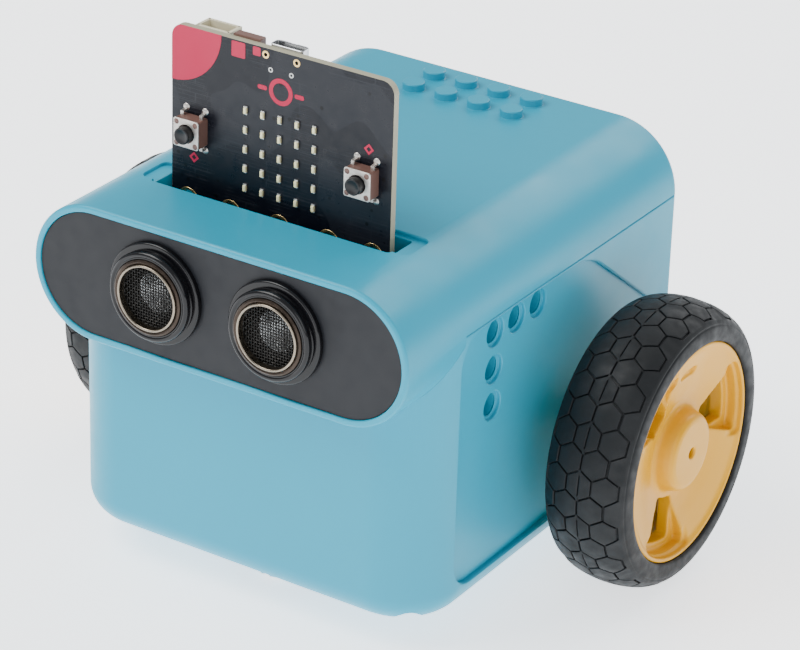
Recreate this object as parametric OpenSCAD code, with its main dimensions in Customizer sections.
// Two-wheeled coding robot for classrooms, with a plug-in controller board.
// +X is the robot's left-hand side in the usual view, -Y is its front, +Z is up.
// The origin lies on the floor, under the middle of the whole robot.

/* [Body] */
// Width of the shells
body_w = 88; // [86:1:92]
// Length of the shells from the visor rim to the back
body_l = 103.4; // [100:0.2:108]
// Height of the flat top above the floor
top_z = 82.7; // [81:0.1:86]
// Height of the belly above the floor
belly_z = 6.2; // [5.6:0.1:7]
// Radius of the long top edges and of the visor ends
top_r = 14.6; // [12:0.2:15]
// Wall thickness of the shells
wall = 2.2; // [1.8:0.1:2.6]
// How far the front of the lower shell lies behind the visor rim
setback = 8; // [7:0.5:10]
// Depth of the recess in each flank
flank_recess = 1.2; // [0.8:0.1:1.4]

/* [Wheels] */
// Radius of the tyres
tyre_r = 30.2; // [29.8:0.1:31]
// Width of each tyre
tyre_w = 18.8; // [18:0.2:20]
// Distance between the outer faces of the tyres
track_w = 139; // [138:1:144]
// Distance of the wheel axle behind the origin
axle_y = 18.3; // [17:0.1:20]

/* [Eyes] */
// Distance between the two transducers
eye_gap = 28.2; // [26:0.2:30]
// Radius of each transducer can
can_r = 8; // [7.8:0.05:8.1]
// How far the transducers stand out of the visor rim
eye_proud = 3.4; // [2:0.2:5]

/* [Controller board] */
// Width of the controller board
board_w = 51.6; // [51:0.1:52]
// Height of the controller board
board_h = 42; // [41:0.1:43]
// Thickness of the controller board
board_t = 1.6; // [1.5:0.1:1.7]
// Height of the board's top edge above the floor
board_top_z = 115.5; // [114:0.1:116]
// Travel of the two face buttons
button_travel = 0.3; // [0.2:0.05:0.5]

/* [Building-brick interfaces] */
// Pitch of the studs and of the side holes
brick_pitch = 8; // [8:0.1:8]
// Radius of the studs and of the side holes
brick_r = 2.4; // [2.4:0.05:2.5]
// Height of the studs
stud_h = 1.7; // [1.6:0.1:1.8]

/* [Hidden] */
$fn = 96;

// Places worked out from the driving dimensions
front_y = -(body_l + eye_proud) / 2 + eye_proud;   // plane of the visor rim
back_y = front_y + body_l;
lower_front_y = front_y + setback;
parting_z = top_z - top_r;                         // where the two shells meet
half_w = body_w / 2;
flank_x = half_w - flank_recess;                   // face of the flank recess
corner_r = 14;                                     // upright corners of the lower shell
belly_r = 10;                                      // lower edges of the lower shell
back_r = 2;                                        // edges around the back
eye_z = parting_z + 0.6;
axle_z = tyre_r;
axle_r = 2.7;                                      // motor output shaft
axle_end = track_w / 2 - 6;                        // outer end of the shaft, from the middle
screw_r = 1.2;                                     // screw in the shaft's end
boss_r = 8.4;                                      // central boss of each wheel
fit_gap = 0.05;                                    // radial gap of a running fit
press_gap = 0.02;                                  // gap around a piece held still
rim_t = 1.5;                                       // width of the visor's rim
plate_t = 2;
plate_y = front_y + 0.4;                           // front of the dark plate
board_y = front_y + 21.1;                          // front of the controller board
board_bottom_z = board_top_z - board_h;
slot_front = 3.8;                                  // slot room ahead of the board
slot_back = 3.0;                                   // slot room behind the board
slot_w = 56;
main_board_z = 58;
gearbox_t = 18.6;
gearbox_h = 22.4;
gearbox_front = 26;                                // length ahead of the axle
flank_inner_x = flank_x - wall;
motor_r = 9.2;                                     // motor can, flat on two sides
caster_y = lower_front_y + 15.3;
caster_r = 4.8;
caster_case_r = 7.2;
ear_x = [-12.5, 12.5];                             // screws that hold the caster
ear_y = caster_y + 5;
line_y = caster_y + 15;                            // row of the line sensors
cover_y = 0;                                       // battery cover
cover_l = 44;
cover_screw_x = [-21.5, 21.5];
stud_y = back_y - 15.6;                            // middle of the front stud row
hole_y = front_y + 33.3;                           // corner hole of the flank
hole_z = 63.7;
hole_deep = 8;                                     // length of the sleeve behind each flank hole
sleeve_r = 3.7;
button_x = 20;
button_drop = 21;                                  // below the board's top edge
reset_x = -9.2;
reset_drop = 1.5;                                  // below the board's top edge
post_r = 3.2;                                      // posts for the case screws
sides = [-1, 1];

// A rectangle centred on X with two rounded top corners of radius rt and lower corners rb
module rounded_plate(w, z0, z1, rt, rb) {
  h = w / 2;
  difference() {
    translate([-h, z0]) square([w, z1 - z0]);
    for (s = sides) {
      corner_cut(s * (h - rt), z1 - rt, rt, s, 1);
      corner_cut(s * (h - rb), z0 + rb, rb, s, -1);
    }
  }
}

// What a rounded corner takes away, outside a circle of radius r at (x, y)
module corner_cut(x, y, r, sx, sy) {
  if (r > 0) difference() {
    translate([x + (sx > 0 ? 0 : -r - 1), y + (sy > 0 ? 0 : -r - 1)]) square(r + 1);
    translate([x, y]) circle(r);
  }
}

// Extrudes a front-view outline (X across, Z up) from y0 to y1
module along_y(y0, y1) {
  translate([0, y1, 0]) rotate([90, 0, 0]) linear_extrude(y1 - y0) children();
}

// Extrudes a side-view outline (Y along, Z up) from x0 to x1
module along_x(x0, x1) {
  translate([x0, 0, 0]) rotate([90, 0, 90]) linear_extrude(x1 - x0) children();
}

// A cylinder that runs along X from x0 to x1
module rod_x(x0, x1, y, z, r) {
  translate([x0, y, z]) rotate([0, 90, 0]) cylinder(h = x1 - x0, r = r);
}

// A cylinder that runs along Y from y0 to y1
module rod_y(y0, y1, x, z, r) {
  translate([x, y1, z]) rotate([90, 0, 0]) cylinder(h = y1 - y0, r = r);
}

// A cylinder that stands from z0 to z1
module rod_z(z0, z1, x, y, r) {
  translate([x, y, z0]) cylinder(h = z1 - z0, r = r);
}

// A block given by its lowest corner and its highest corner
module block(low, high) {
  translate(low) cube([high[0] - low[0], high[1] - low[1], high[2] - low[2]]);
}

// The visor's outline: a long slot shape, smaller by inset
module visor_outline(inset) {
  r = top_r - inset;
  for (s = sides) translate([s * (half_w - top_r), parting_z]) circle(r);
  translate([-(half_w - top_r), parting_z - r]) square([2 * (half_w - top_r), 2 * r]);
}

// Solid form of the upper shell, smaller by inset all round
module upper_form(inset) {
  intersection() {
    along_y(front_y + 20, back_y - inset)
      rounded_plate(body_w - 2 * inset, parting_z, top_z - inset, top_r - inset, 0);
    along_x(-half_w, half_w) side_outline(inset, parting_z, top_z - inset, back_r, 0);
  }
  along_y(front_y + (inset > 0 ? -1 : 0), front_y + 20.5) visor_outline(inset);
}

// Side view of a shell whose back edges are rounded
module side_outline(inset, z0, z1, r_top, r_low) {
  y1 = back_y - inset;
  difference() {
    translate([front_y, z0]) square([y1 - front_y, z1 - z0]);
    corner_cut(y1 - r_top, z1 - r_top, r_top, 1, 1);
    corner_cut(y1 - r_low, z0 + r_low, r_low, 1, -1);
  }
}

// Solid form of the lower shell, smaller by inset all round
module lower_form(inset) {
  w = body_w - 2 * inset;
  y0 = lower_front_y + inset;
  y1 = back_y - inset;
  z0 = belly_z + inset;
  z1 = parting_z;
  intersection() {
    translate([0, 0, z0]) linear_extrude(z1 - z0) difference() {
      translate([-w / 2, y0]) square([w, y1 - y0]);
      for (s = sides) {
        corner_cut(s * (w / 2 - corner_r), y0 + corner_r, corner_r, s, -1);
        corner_cut(s * (w / 2 - back_r), y1 - back_r, back_r, s, 1);
      }
    }
    along_y(y0, y1) rounded_plate(w, z0, z1 + 1, 0, belly_r);
    along_x(-w / 2, w / 2) difference() {
      translate([y0, z0]) square([y1 - y0, z1 - z0]);
      corner_cut(y0 + belly_r, z0 + belly_r, belly_r, -1, -1);
      corner_cut(y1 - belly_r, z0 + belly_r, belly_r, 1, -1);
    }
  }
}

// Outline of the shallow recess in a flank, ending in a slope behind the wheel
module flank_outline() {
  y0 = lower_front_y + 11.7;
  z1 = parting_z - 0.6;
  y_slope = axle_y - 3;
  r = 6;
  difference() {
    polygon([[y0, belly_z + 6], [axle_y + 30, belly_z + 6], [axle_y + 30, axle_z + 14],
             [y_slope + 5, z1 - 2.2], [y_slope - 1, z1], [y0, z1]]);
    corner_cut(y0 + r, z1 - r, r, -1, 1);
    corner_cut(y0 + r, belly_z + 6 + r, r, -1, -1);
  }
}

// The row and column of brick holes, as [y, z] of each hole
function side_holes() = [for (i = [0:2]) [hole_y + i * brick_pitch, hole_z],
                         [hole_y, hole_z - brick_pitch], [hole_y, hole_z - 2 * brick_pitch]];

// Screw posts that hold the two shells together
function post_places() = [for (s = sides, p = [[half_w - 7.2, lower_front_y + 6.3],
                                           [half_w - 10.5, back_y - 8]]) [s * p[0], p[1]]];

module lower_shell() {
  color([0.25, 0.76, 0.88]) difference() {
    union() {
      difference() {
        lower_form(0);
        translate([0, 0, 0.01]) lower_form(wall);
        for (s = sides)
          along_x(s > 0 ? flank_x : -half_w - 1, s > 0 ? half_w + 1 : -flank_x) flank_outline();
      }
      // the flank is backed inside, so that the recess keeps the wall's thickness
      for (s = sides) along_x(s > 0 ? flank_inner_x : -flank_x, s > 0 ? flank_x : -flank_inner_x)
        intersection() {
          flank_outline();
          translate([lower_front_y + 9, belly_z + 9]) square([body_l - 22, parting_z]);
        }
      for (p = post_places()) rod_z(belly_z + 1, parting_z - 0.3, p[0], p[1], post_r);
      for (x = ear_x) rod_z(belly_z + 1, belly_z + 6, x, ear_y, 2.6);
      for (s = sides, h = side_holes())
        rod_x(s > 0 ? flank_x - hole_deep : -flank_x + 1, s > 0 ? flank_x - 1 : -flank_x + hole_deep,
              h[0], h[1], sleeve_r);
    }
    // room for the visor, which reaches over the front of this shell
    along_y(front_y - 1, front_y + 20.5 + press_gap) visor_outline(0);
    for (s = sides, h = side_holes())
      rod_x(s > 0 ? flank_x - hole_deep - 1 : -half_w, s > 0 ? half_w : -flank_x + hole_deep + 1,
            h[0], h[1], brick_r);
    for (s = sides, h = side_holes())
      rod_x(s > 0 ? flank_x - 0.8 : -half_w, s > 0 ? half_w : -flank_x + 0.8,
            h[0], h[1], brick_r + 0.7);
    for (s = sides)
      rod_x(s > 0 ? flank_inner_x - 1 : -half_w, s > 0 ? half_w : -flank_inner_x + 1,
            axle_y, axle_z, 5);
    rod_z(belly_z - 1, belly_z + wall + 5, 0, caster_y, caster_case_r + fit_gap);
    for (x = ear_x) rod_z(belly_z - 1, belly_z + 6.5, x, ear_y, 1.1);
    block([-24.05, cover_y - 0.05, belly_z - 1], [24.05, cover_y + cover_l + 0.05, belly_z + wall + 0.1]);
    for (p = post_places()) rod_z(belly_z - 1, belly_z + 4, p[0], p[1], 2.8);
    for (p = post_places()) rod_z(belly_z, parting_z, p[0], p[1], 1.3);
    // line sensors look down through this window
    block([-16, line_y - 3, belly_z - 1], [16, line_y + 3, belly_z + wall + 1]);
    switch_cut();
    charge_cut();
  }
}

module upper_shell() {
  color([0.27, 0.79, 0.91]) difference() {
    union() {
      difference() {
        upper_form(0);
        difference() {
          upper_form(wall);
          // the visor's back wall, which the plate's boards stand before
          along_y(front_y + 18.3, front_y + 21) difference() {
            visor_outline(0);
            translate([-half_w, parting_z]) square([body_w, top_r]);
          }
        }
        along_y(front_y - 1, plate_y + plate_t + 0.02) visor_outline(rim_t);
      }
      for (i = [0:3], j = [0:1])
        rod_z(top_z - 1, top_z + stud_h, (i - 1.5) * brick_pitch, stud_y + j * brick_pitch,
              brick_r);
      // the rear posts end inside the thickness of the rounded top
      for (p = post_places()) if (p[1] > 0) rod_z(parting_z, top_z - 2.6, p[0], p[1], post_r);
      // bearing rim of the slot
      block([-slot_w / 2 - 2, board_y - slot_front - 2, top_z - 6],
            [slot_w / 2 + 2, board_y + board_t + slot_back + 2, top_z - 1]);
    }
    // visor cavity floor is cut through where the controller board plugs in
    block([-slot_w / 2, board_y - slot_front, parting_z - 20],
          [slot_w / 2, board_y + board_t + slot_back, top_z + 1]);
    // shallow pocket that leads the board into the slot
    translate([0, 0, top_z - 0.8]) linear_extrude(2) rounded_slot(slot_w + 7,
      board_y - slot_front + 1, board_y + board_t + slot_back + 1);
    for (p = post_places())
      rod_z(parting_z - 20, parting_z + (p[1] > 0 ? 8 : -8), p[0], p[1], 1.22);
    // visor cavity: its back wall is cut away above the motor bay
    block([-half_w + 6, front_y + 17, parting_z - top_r - 1],
          [half_w - 6, front_y + 22, parting_z - 4]);
  }
}

// A flat slot with round corners, seen from above
module rounded_slot(w, y0, y1) {
  r = 1.6;
  difference() {
    translate([-w / 2, y0]) square([w, y1 - y0]);
    for (s = sides) {
      corner_cut(s * (w / 2 - r), y0 + r, r, s, -1);
      corner_cut(s * (w / 2 - r), y1 - r, r, s, 1);
    }
  }
}

module front_plate() {
  color([0.16, 0.17, 0.19]) difference() {
    along_y(plate_y, plate_y + plate_t) visor_outline(rim_t + press_gap);
    for (s = sides) rod_y(front_y - 1, front_y + 6, s * eye_gap / 2, eye_z, can_r + 1.4);
  }
}

// Glossy collar around one transducer, with a flange on the plate
module sensor_bezel(s) {
  x = s * eye_gap / 2;
  color([0.03, 0.03, 0.035]) difference() {
    union() {
      rod_y(front_y - eye_proud + 1.2, plate_y + plate_t + 2, x, eye_z, can_r + 1.38);
      rod_y(plate_y - 1.2, plate_y - 0.01, x, eye_z, can_r + 2.6);
    }
    rod_y(front_y - 10, front_y + 10, x, eye_z, can_r + press_gap);
  }
}

module transducer_can(s) {
  x = s * eye_gap / 2;
  y0 = front_y - eye_proud;
  color([0.40, 0.36, 0.31]) difference() {
    rod_y(y0, y0 + 12, x, eye_z, can_r);
    rod_y(y0 - 1, y0 + 11, x, eye_z, can_r - 1.5);
  }
}

module transducer_mesh(s) {
  y0 = front_y - eye_proud + 1.5;
  color([0.12, 0.12, 0.13]) rod_y(y0, y0 + 0.5, s * eye_gap / 2, eye_z, can_r - 1.52);
}

// The metal cone that stands behind the mesh on the piezo disc
module transducer_horn(s) {
  y0 = front_y - eye_proud + 4;
  color([0.75, 0.76, 0.78]) translate([s * eye_gap / 2, y0, eye_z]) rotate([-90, 0, 0])
    rotate_extrude() polygon([[0, 5], [3.8, 0], [4.3, 0], [1.6, 5], [1.6, 6.99], [0, 6.99]]);
}

module ranging_board() {
  y = front_y - eye_proud + 12.02;
  color([0.05, 0.22, 0.45]) block([-22.5, y, eye_z - 10], [22.5, y + 1.6, eye_z + 10]);
}

// Centres of the plug-in rings along the board's lower edge
ring_x = [-21.8, -11.6, 0, 11.6, 21.8];
ring_z = board_bottom_z + 5.5;

module controller_board() {
  r = 2;
  color([0.05, 0.06, 0.08]) along_y(board_y, board_y + board_t) difference() {
    rounded_plate(board_w, board_bottom_z, board_top_z, r, r);
    for (x = ring_x) translate([x, ring_z]) circle(2);
  }
}

// Gold strips below the rings, in both faces of the board's lower edge
module board_pads() {
  color([0.85, 0.66, 0.30]) for (x = ring_x)
    block([x - 2, board_y - 0.1, board_bottom_z + 0.3],
          [x + 2, board_y - press_gap, ring_z - 2.2]);
}

led_pitch_x = 4.02;
led_pitch_z = 4.1;
led_drop = 14;

module led_matrix() {
  color([0.93, 0.90, 0.80]) for (i = [-2:2], j = [0:4])
    translate([i * led_pitch_x, board_y - 0.35 - press_gap, board_top_z - led_drop - j * led_pitch_z])
      cube([0.8, 0.7, 1.6], center = true);
}

module board_chips() {
  y = board_y + board_t + press_gap;
  color([0.10, 0.10, 0.11]) {
    block([-20, y, board_top_z - 22], [-13, y + 0.9, board_top_z - 15]);
    block([8, y, board_top_z - 24], [13, y + 0.9, board_top_z - 19]);
    block([-3, y, board_top_z - 28], [0, y + 0.9, board_top_z - 25]);
    block([16, y, board_top_z - 12], [19, y + 0.9, board_top_z - 9]);
  }
}

button_size = 6;
button_deep = 3.4;
cap_r = 1.75;
cap_long = 1.6;

module button_body(x) {
  z = board_top_z - button_drop;
  h = button_size / 2;
  color([0.72, 0.70, 0.66]) difference() {
    block([x - h, board_y - button_deep, z - h], [x + h, board_y - press_gap, z + h]);
    rod_y(board_y - 6, board_y - 1, x, z, cap_r + fit_gap);
  }
}

module button_cap(x) {
  z = board_top_z - button_drop;
  color([0.06, 0.06, 0.07])
    rod_y(board_y - button_deep - cap_long, board_y - 1 - button_travel - 0.1, x, z, cap_r);
}

module reset_body() {
  y = board_y + board_t + press_gap;
  z = board_top_z - reset_drop;
  color([0.42, 0.25, 0.18]) difference() {
    block([reset_x - 3.2, y, z - 2], [reset_x + 3.2, y + 2, z + 2]);
    rod_y(y + 0.6, y + 3, reset_x, z, 1 + fit_gap);
  }
}

module reset_cap() {
  y = board_y + board_t + press_gap;
  color([0.85, 0.85, 0.83]) rod_y(y + 1, y + 2.7, reset_x, board_top_z - reset_drop, 1);
}

module usb_socket() {
  y = board_y + board_t + press_gap;
  color([0.78, 0.79, 0.80]) difference() {
    block([-3.8, y, board_top_z - 5.2], [3.8, y + 2.6, board_top_z + 0.4]);
    block([-3.4, y + 0.4, board_top_z - 4.6], [3.4, y + 2.2, board_top_z + 1]);
  }
}

module battery_socket() {
  y = board_y + board_t + press_gap;
  color([0.93, 0.92, 0.86]) difference() {
    block([-21.4, y, board_top_z - 6.5], [-13.4, y + 4.6, board_top_z]);
    block([-20.6, y + 0.8, board_top_z - 5.5], [-14.2, y + 3.8, board_top_z + 1]);
  }
}

module edge_connector() {
  y0 = board_y - 3.2;
  y1 = board_y + board_t + 2.8;
  color([0.06, 0.06, 0.07]) difference() {
    block([-27.5, y0, main_board_z + 1.62], [27.5, y1, board_bottom_z + 3.5]);
    block([-board_w / 2 - press_gap, board_y - 0.13, board_bottom_z - press_gap],
          [board_w / 2 + press_gap, board_y + board_t + press_gap, top_z]);
  }
}

module main_board() {
  color([0.05, 0.30, 0.18])
    block([-34, lower_front_y + 13, main_board_z], [34, back_y - 13, main_board_z + 1.6]);
}

module battery_pack() {
  color([0.20, 0.22, 0.45])
    block([-19, cover_y + 1, belly_z + wall + 0.5],
          [19, cover_y + cover_l - 1, belly_z + wall + 19]);
}

module battery_cover() {
  color([0.22, 0.70, 0.83]) difference() {
    block([-24, cover_y, belly_z], [24, cover_y + cover_l, belly_z + wall]);
    for (i = [-2:2])
      block([i * 4 - 0.8, cover_y + cover_l - 9, belly_z - 1],
            [i * 4 + 0.8, cover_y + cover_l - 4, belly_z + 0.6]);
    for (x = cover_screw_x) {
      rod_z(belly_z - 1, belly_z + 1.1, x, cover_y + cover_l / 2, 2.4);
      rod_z(belly_z, belly_z + 5, x, cover_y + cover_l / 2, 1.1);
    }
  }
}

// A pan-head screw, head down, with a cross recess; its shaft goes up from z
module screw_up(x, y, z, r_head, r_shaft, long) {
  difference() {
    union() {
      rod_z(z, z + 1, x, y, r_head);
      rod_z(z + 0.99, z + long, x, y, r_shaft);
    }
    for (a = [0, 90]) translate([x, y, z]) rotate(a) cube([r_head * 1.1, 0.5, 1], center = true);
  }
}

module cover_screws() {
  color([0.70, 0.71, 0.73]) for (x = cover_screw_x)
    screw_up(x, cover_y + cover_l / 2, belly_z + 0.1, 2, 1.05, 4);
}

module case_screws() {
  color([0.70, 0.71, 0.73])
    for (p = post_places()) screw_up(p[0], p[1], belly_z + 3, 2.5, 1.2, p[1] > 0 ? 62 : 50);
}

module caster_screws() {
  color([0.70, 0.71, 0.73]) for (x = ear_x) screw_up(x, ear_y, belly_z - 2.6, 2, 1.05, 7);
}

// Yellow gear case of one drive, seen from the side as a block with a round end
module gearbox(s) {
  x0 = s > 0 ? flank_inner_x - 0.1 - gearbox_t : -flank_inner_x + 0.1;
  color([0.95, 0.75, 0.15]) difference() {
    along_x(x0, x0 + gearbox_t) {
      translate([axle_y - gearbox_front, axle_z - gearbox_h / 2])
        square([gearbox_front, gearbox_h]);
      translate([axle_y, axle_z]) circle(gearbox_h / 2);
    }
    rod_x(x0 - 1, x0 + gearbox_t + 1, axle_y, axle_z, axle_r + fit_gap);
    for (z = [-8.2, 8.2])
      rod_x(x0 - 1, x0 + gearbox_t + 1, axle_y - 20.5, axle_z + z, 1.5);
  }
}

module gearbox_screws() {
  color([0.70, 0.71, 0.73]) for (s = sides, z = [-8.2, 8.2]) {
    x = s * (flank_inner_x - 0.1 - gearbox_t);
    rod_x(min(x, x + s * (gearbox_t - 0.2)), max(x, x + s * (gearbox_t - 0.2)),
          axle_y - 20.5, axle_z + z, 1.45);
    rod_x(min(x, x - s * 1.8), max(x, x - s * 1.8), axle_y - 20.5, axle_z + z, 2.7);
  }
}

module motor(s) {
  x = s * (flank_inner_x - 0.1 - gearbox_t / 2);
  y1 = axle_y - gearbox_front - 0.02;
  color([0.72, 0.73, 0.75]) difference() {
    union() {
      rod_y(y1 - 20, y1, x, axle_z, motor_r);
      rod_y(y1 - 22.5, y1 - 20, x, axle_z, 3);
    }
    for (k = sides) translate([x + k * motor_r, y1 - 10, axle_z]) cube([3.4, 30, 12], center = true);
  }
}

// The output shaft turns in the gear case and carries the wheel
module axle(s) {
  x0 = flank_inner_x - 0.1 - gearbox_t - 1;
  x1 = axle_end;
  color([0.93, 0.93, 0.90]) at_side(s) difference() {
    translate([0, 0, x0]) cylinder(h = x1 - x0, r = axle_r);
    translate([0, 0, x1 - 9]) cylinder(h = 10, r = screw_r + press_gap);
  }
}

// Wheel profile radii
rim_r = 23.4;
well_r = 21.5;
dish_deep = 4.2;
hub_face = track_w / 2 - 0.5;                      // plane of the rim's outer lip
hub_back = track_w / 2 - tyre_w + 0.8;

// A wheel piece is drawn for the right side and turned round for the other side
module at_side(s) {
  translate([0, axle_y, axle_z]) rotate([0, 0, s > 0 ? 0 : 180]) rotate([0, 90, 0]) children();
}

module hub(s) {
  color([1.0, 0.78, 0.05]) at_side(s) difference() {
    rotate_extrude() polygon([
      [axle_r + press_gap, flank_x + 3], [5.6, flank_x + 3], [7.2, hub_back],
      [12, hub_face - dish_deep - 2.2], [well_r - 1.6, hub_face - dish_deep - 2.2],
      [well_r - 1.6, hub_back], [rim_r - 0.6, hub_back], [rim_r - 0.6, hub_face - 1.2],
      [rim_r - press_gap, hub_face - 1.2], [rim_r - press_gap, hub_face], [well_r + 0.4, hub_face],
      [well_r - 0.5, hub_face - 1.4], [well_r - 2.2, hub_face - dish_deep],
      [boss_r + 1.2, hub_face - dish_deep], [boss_r, hub_face - 0.6], [boss_r - 0.6, hub_face],
      [1.6, hub_face], [1.6, axle_end], [axle_r + press_gap, axle_end]]);
    // three windows through the dish
    for (a = [0:120:240]) rotate(a + 101) translate([0, 0, hub_face - 12]) linear_extrude(11)
      polygon([[10.5, -2.2], [17.6, -4.6], [18.8, 0], [17.6, 4.6], [10.5, 2.2]]);
  }
}

module tyre(s) {
  x0 = track_w / 2 - tyre_w;
  x1 = track_w / 2;
  color([0.09, 0.09, 0.10]) at_side(s) rotate_extrude() polygon([
    [rim_r, x1 - 0.5], [rim_r + 0.5, x1 - 0.1], [rim_r + 1, x1],
    [tyre_r - 4.4, x1 - 0.1], [tyre_r - 2.8, x1 - 0.7], [tyre_r - 1.7, x1 - 2],
    [tyre_r - 0.9, x1 - 3.9], [tyre_r - 0.3, x1 - 6.1], [tyre_r, x1 - 8.4],
    [tyre_r, x0 + 8.2], [tyre_r - 0.3, x0 + 5.8], [tyre_r - 0.9, x0 + 3.6],
    [tyre_r - 1.7, x0 + 1.9], [tyre_r - 2.8, x0 + 0.7], [tyre_r - 4.4, x0 + 0.1],
    [rim_r + 1, x0], [rim_r - 0.58, x0 + 0.9],
    [rim_r - 0.58, hub_face - 1.24], [rim_r, hub_face - 1.24]]);
}

module hub_screw(s) {
  color([0.70, 0.71, 0.73]) at_side(s) difference() {
    union() {
      translate([0, 0, axle_end - 8]) cylinder(h = 9, r = screw_r);
      translate([0, 0, axle_end + press_gap]) cylinder(h = 2, r = 1.58);
    }
    for (a = [0, 90]) translate([0, 0, axle_end + 2]) rotate(a)
      cube([2.2, 0.5, 1.2], center = true);
  }
}

module caster_housing() {
  color([0.25, 0.76, 0.88]) difference() {
    union() {
      translate([0, caster_y, 0]) rotate_extrude() polygon([
        [0, belly_z + wall + 4], [caster_case_r, belly_z + wall + 4], [caster_case_r, belly_z],
        [6.9, 4.4], [6.1, 2.8], [4.8, 1.5], [0, 1.5]]);
      block([-16, ear_y - 3, belly_z - 1.6], [16, ear_y + 3, belly_z - 0.02]);
    }
    translate([0, caster_y, caster_r]) sphere(caster_r + 0.15);
    for (a = [0:90:270]) translate([0, caster_y, 1]) rotate(a)
      translate([3, -0.9, 0]) cube([7, 1.8, 4]);
    for (x = ear_x) rod_z(1, belly_z + 1, x, ear_y, 1.2);
  }
}

module caster_ball() {
  color([0.80, 0.81, 0.83]) translate([0, caster_y, caster_r]) sphere(caster_r);
}

module line_board() {
  color([0.05, 0.30, 0.18])
    block([-18, line_y - 5, belly_z + wall + 1], [18, line_y + 6, belly_z + wall + 2.6]);
}

// Two pairs of infrared emitters and receivers
module line_sensors() {
  color([0.10, 0.10, 0.12]) for (x = [-11, -6, 6, 11])
    rod_z(belly_z + 0.6, belly_z + wall + 0.98, x, line_y, 1.5);
}

switch_x = -20;
switch_z = 44;

// Opening for the power switch in the back wall
module switch_cut() {
  block([switch_x - 4, back_y - wall - 1, switch_z - 2],
        [switch_x + 4, back_y + 1, switch_z + 2]);
}

module switch_body() {
  color([0.55, 0.56, 0.58]) difference() {
    block([switch_x - 6, back_y - wall - 5.5, switch_z - 3.5],
          [switch_x + 6, back_y - wall - 0.02, switch_z + 3.5]);
    block([switch_x - 4, back_y - wall - 3, switch_z - 1.2],
          [switch_x + 4, back_y, switch_z + 1.2]);
  }
}

module switch_slider() {
  color([0.06, 0.06, 0.07]) block([switch_x - 3.8, back_y - wall - 2.5, switch_z - 1.1],
                                  [switch_x - 0.4, back_y - 0.4, switch_z + 1.1]);
}

charge_x = 20;

// Opening for the charge socket in the back wall
module charge_cut() {
  block([charge_x - 4.6, back_y - wall - 1, switch_z - 1.7],
        [charge_x + 4.6, back_y + 1, switch_z + 1.7]);
}

module charge_socket() {
  color([0.78, 0.79, 0.80]) difference() {
    block([charge_x - 4.5, back_y - wall - 5, switch_z - 1.6],
          [charge_x + 4.5, back_y - 0.5, switch_z + 1.6]);
    block([charge_x - 4.1, back_y - 6, switch_z - 1.2], [charge_x + 4.1, back_y, switch_z + 1.2]);
  }
}

lower_shell();
upper_shell();
front_plate();
sensor_bezel(1);  // sensor_bezel_right
sensor_bezel(-1);  // sensor_bezel_left
transducer_can(1);  // transducer_can_right
transducer_can(-1);  // transducer_can_left
transducer_mesh(1);  // transducer_mesh_right
transducer_mesh(-1);  // transducer_mesh_left
transducer_horn(1);  // transducer_horn_right
transducer_horn(-1);  // transducer_horn_left
ranging_board();
controller_board();
board_pads();
led_matrix();
board_chips();
button_body(-button_x);  // button_a_body
button_cap(-button_x);  // button_a_cap
button_body(button_x);  // button_b_body
button_cap(button_x);  // button_b_cap
reset_body();
reset_cap();
usb_socket();
battery_socket();
edge_connector();
main_board();
battery_pack();
battery_cover();
cover_screws();
gearbox(1);  // gearbox_right
gearbox(-1);  // gearbox_left
motor(1);  // motor_right
motor(-1);  // motor_left
gearbox_screws();
axle(1);  // axle_right
axle(-1);  // axle_left
hub(1);  // hub_right
hub(-1);  // hub_left
tyre(1);  // tyre_right
tyre(-1);  // tyre_left
hub_screw(1);  // hub_screw_right
hub_screw(-1);  // hub_screw_left
caster_housing();
caster_ball();
caster_screws();
line_board();
line_sensors();
switch_body();
switch_slider();
charge_socket();
case_screws();
